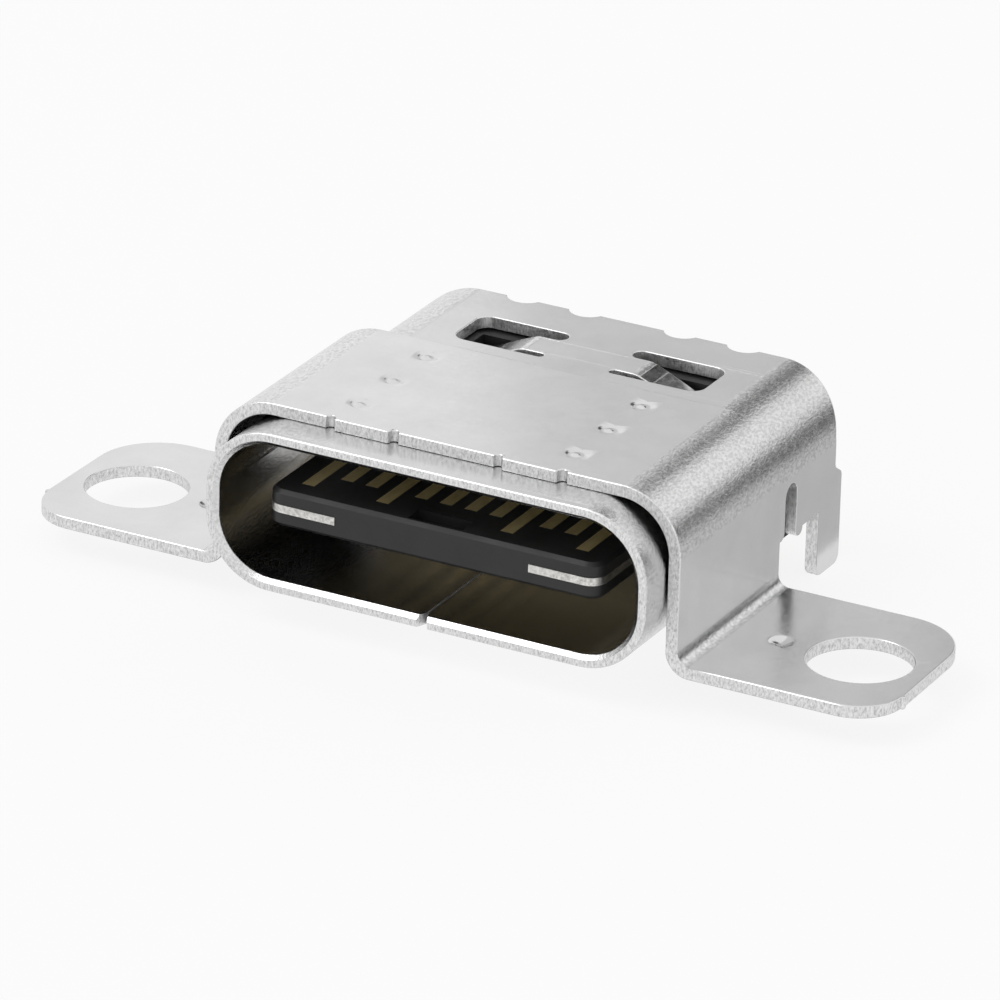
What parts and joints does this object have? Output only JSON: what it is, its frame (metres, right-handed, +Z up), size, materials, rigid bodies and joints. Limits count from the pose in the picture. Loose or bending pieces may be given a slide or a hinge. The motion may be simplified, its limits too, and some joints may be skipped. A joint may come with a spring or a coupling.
{
  "type": "usb receptacle",
  "caption": "Board-mount plug receptacle: folded steel shell with a central contact tongue, held by a screw-down bracket with a drilled ear on each side.",
  "frame": {"origin": "midway between the two screw holes, on the underside of the bracket's ears", "axes": "+X across the receptacle from ear to ear, +Y from the mouth towards the rear, +Z up away from the board"},
  "size_m": [0.0174, 0.0082, 0.0039],
  "materials": {
    "shell_metal": "bright nickel-plated sheet steel, slightly grained at the bends",
    "bracket_metal": "bright nickel-plated sheet steel with sheared edges",
    "plate_steel": "bare stainless sheet, rough at its cut edges",
    "pad_steel": "thin stainless sheet, dull",
    "contact_metal": "dull gold-plated copper alloy",
    "tongue_plastic": "matt black moulded plastic, finely textured",
    "black_plastic": "matt black moulded plastic"
  },
  "bodies": {
    "root": {"shell": "shell_metal", "mounting_bracket": "bracket_metal", "housing": "black_plastic", "tongue": "tongue_plastic", "upper_contact_carrier": "black_plastic", "lower_contact_carrier": "black_plastic", "mid_plate": "plate_steel", "upper_ground_pad": "pad_steel", "lower_ground_pad": "pad_steel", "contact_a01": "contact_metal", "contact_a02": "contact_metal", "contact_a03": "contact_metal", "contact_a04": "contact_metal", "contact_a05": "contact_metal", "contact_a06": "contact_metal", "contact_a07": "contact_metal", "contact_a08": "contact_metal", "contact_a09": "contact_metal", "contact_a10": "contact_metal", "contact_a11": "contact_metal", "contact_a12": "contact_metal", "contact_b01": "contact_metal", "contact_b02": "contact_metal", "contact_b03": "contact_metal", "contact_b04": "contact_metal", "contact_b05": "contact_metal", "contact_b06": "contact_metal", "contact_b07": "contact_metal", "contact_b08": "contact_metal", "contact_b09": "contact_metal", "contact_b10": "contact_metal", "contact_b11": "contact_metal", "contact_b12": "contact_metal"}
  },
  "joints": []
}
